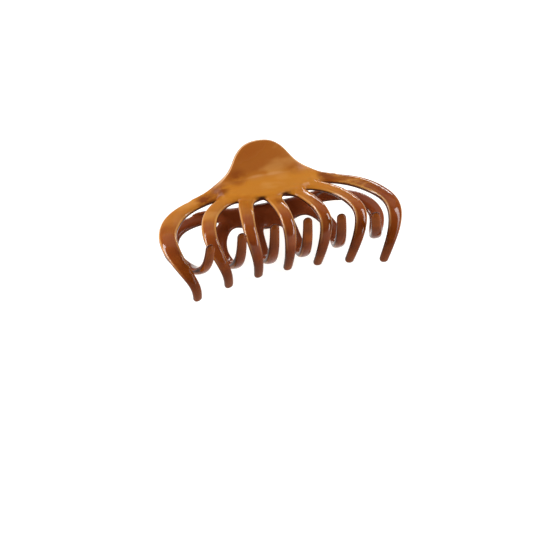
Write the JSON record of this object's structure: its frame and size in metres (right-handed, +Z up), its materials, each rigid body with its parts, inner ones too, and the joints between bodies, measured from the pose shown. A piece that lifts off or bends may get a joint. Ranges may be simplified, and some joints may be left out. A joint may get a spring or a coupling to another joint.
{
  "type": "hair claw clip",
  "caption": "Wide sprung claw clip for hair: two curved toothed jaws with round thumb tabs, hinged on a steel pin with a torsion spring between the tabs.",
  "frame": {"origin": "on the surface it lies on, under the centre of its bounding box", "axes": "+X along the clip, -Y towards the teeth, +Y towards the thumb tabs, +Z up, with the front jaw uppermost"},
  "size_m": [0.1098, 0.0602, 0.0432],
  "materials": {
    "tortoise_front": "polished",
    "tortoise_back": "polished",
    "steel_pin": "bright",
    "spring_wire": "bright"
  },
  "bodies": {
    "back": {"back_jaw": "tortoise_back", "hinge_pin": "steel_pin", "torsion_spring": "spring_wire"},
    "front": {"front_jaw": "tortoise_front"}
  },
  "joints": [
    {"name": "jaw_hinge", "type": "hinge", "parent": "back", "child": "front", "pos_m": [0, 0.01475, 0.02035], "axis": [-1, 0, 0], "range_deg": [0, 55], "stiffness_Nm_per_rad": 0.15, "springref_deg": -40.11, "deforming": ["torsion_spring"]}
  ]
}
